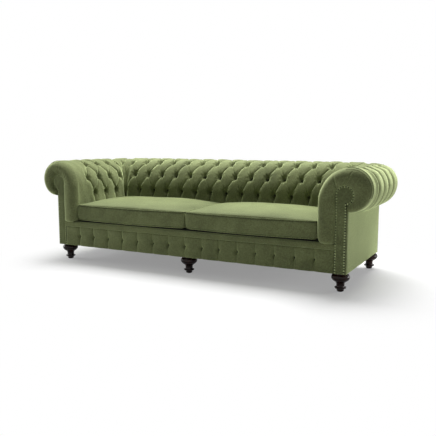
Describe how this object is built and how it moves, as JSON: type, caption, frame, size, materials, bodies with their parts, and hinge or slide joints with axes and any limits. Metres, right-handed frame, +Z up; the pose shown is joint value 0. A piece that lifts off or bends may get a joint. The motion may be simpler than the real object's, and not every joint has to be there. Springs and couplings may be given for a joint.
{
  "type": "chesterfield sofa",
  "caption": "Low sofa with one-height scrolled arms and back, deep diamond tufting, loose box cushions, a buttoned front border and turned feet.",
  "frame": {"origin": "on the floor, under the middle of the sofa's overall width and depth", "axes": "+X to the sofa's own left, seen from in front to the right; the sofa faces -Y; +Z up"},
  "size_m": [2.48, 0.9658, 0.743],
  "materials": {
    "olive_velvet": "olive-green velvet with a soft sheen",
    "deck_cloth": "plain olive lining cloth",
    "foam": "matte foam",
    "webbing": "woven jute",
    "dust_cloth": "thin black lining",
    "zip_cloth": "woven tape",
    "zip_metal": "satin",
    "frame_hardwood": "sawn",
    "plywood": "unfinished",
    "dark_turned_wood": "near-black brown gloss",
    "bolt_steel": "plain",
    "glide_plastic": "matte"
  },
  "bodies": {
    "root": {"arm_buttons_left": "olive_velvet", "arm_buttons_right": "olive_velvet", "arm_front_pad_left": "olive_velvet", "arm_front_pad_right": "olive_velvet", "arm_front_post_left": "plywood", "arm_front_post_right": "plywood", "arm_liner_rail_left": "frame_hardwood", "arm_liner_rail_right": "frame_hardwood", "arm_ribs_left": "plywood", "arm_ribs_right": "plywood", "arm_roll_former_left": "plywood", "arm_roll_former_right": "plywood", "arm_tack_rail_left": "frame_hardwood", "arm_tack_rail_right": "frame_hardwood", "back_buttons": "olive_velvet", "back_corner_post_left": "frame_hardwood", "back_corner_post_right": "frame_hardwood", "back_feet": "dark_turned_wood", "back_liner_rail": "frame_hardwood", "back_rail": "frame_hardwood", "back_ribs": "plywood", "back_roll_former": "plywood", "back_tack_rail": "frame_hardwood", "border_buttons": "olive_velvet", "deck_pad": "deck_cloth", "dust_cover": "dust_cloth", "facing_panel_left": "olive_velvet", "facing_panel_right": "olive_velvet", "foot_blocks": "frame_hardwood", "foot_bolts": "bolt_steel", "foot_glides": "glide_plastic", "front_band": "olive_velvet", "front_border_pad": "olive_velvet", "front_feet": "dark_turned_wood", "front_rail": "frame_hardwood", "inside_arm_pad_left": "olive_velvet", "inside_arm_pad_right": "olive_velvet", "inside_back_pad": "olive_velvet", "outside_arm_left": "olive_velvet", "outside_arm_right": "olive_velvet", "outside_back": "olive_velvet", "seat_cross_rails": "frame_hardwood", "seat_webbing_crosswise": "webbing", "seat_webbing_lengthwise": "webbing", "side_rail_left": "frame_hardwood", "side_rail_right": "frame_hardwood"},
    "seat_cushion_left": {"cushion_core_left": "foam", "cushion_cover_left": "olive_velvet", "zip_tape_left": "zip_cloth"},
    "seat_cushion_right": {"cushion_core_right": "foam", "cushion_cover_right": "olive_velvet", "zip_tape_right": "zip_cloth"},
    "zip_slider_left": {"zip_slider_left": "zip_metal"},
    "zip_slider_right": {"zip_slider_right": "zip_metal"}
  },
  "joints": [
    {"name": "lift_cushion_left", "type": "slide", "parent": "root", "child": "seat_cushion_left", "axis": [0, 0, 1], "range_m": [0, 0.45]},
    {"name": "zip_left", "type": "slide", "parent": "seat_cushion_left", "child": "zip_slider_left", "axis": [-1, 0, 0], "range_m": [0, 0.638]},
    {"name": "lift_cushion_right", "type": "slide", "parent": "root", "child": "seat_cushion_right", "axis": [0, 0, 1], "range_m": [0, 0.45]},
    {"name": "zip_right", "type": "slide", "parent": "seat_cushion_right", "child": "zip_slider_right", "axis": [1, 0, 0], "range_m": [0, 0.638]}
  ]
}
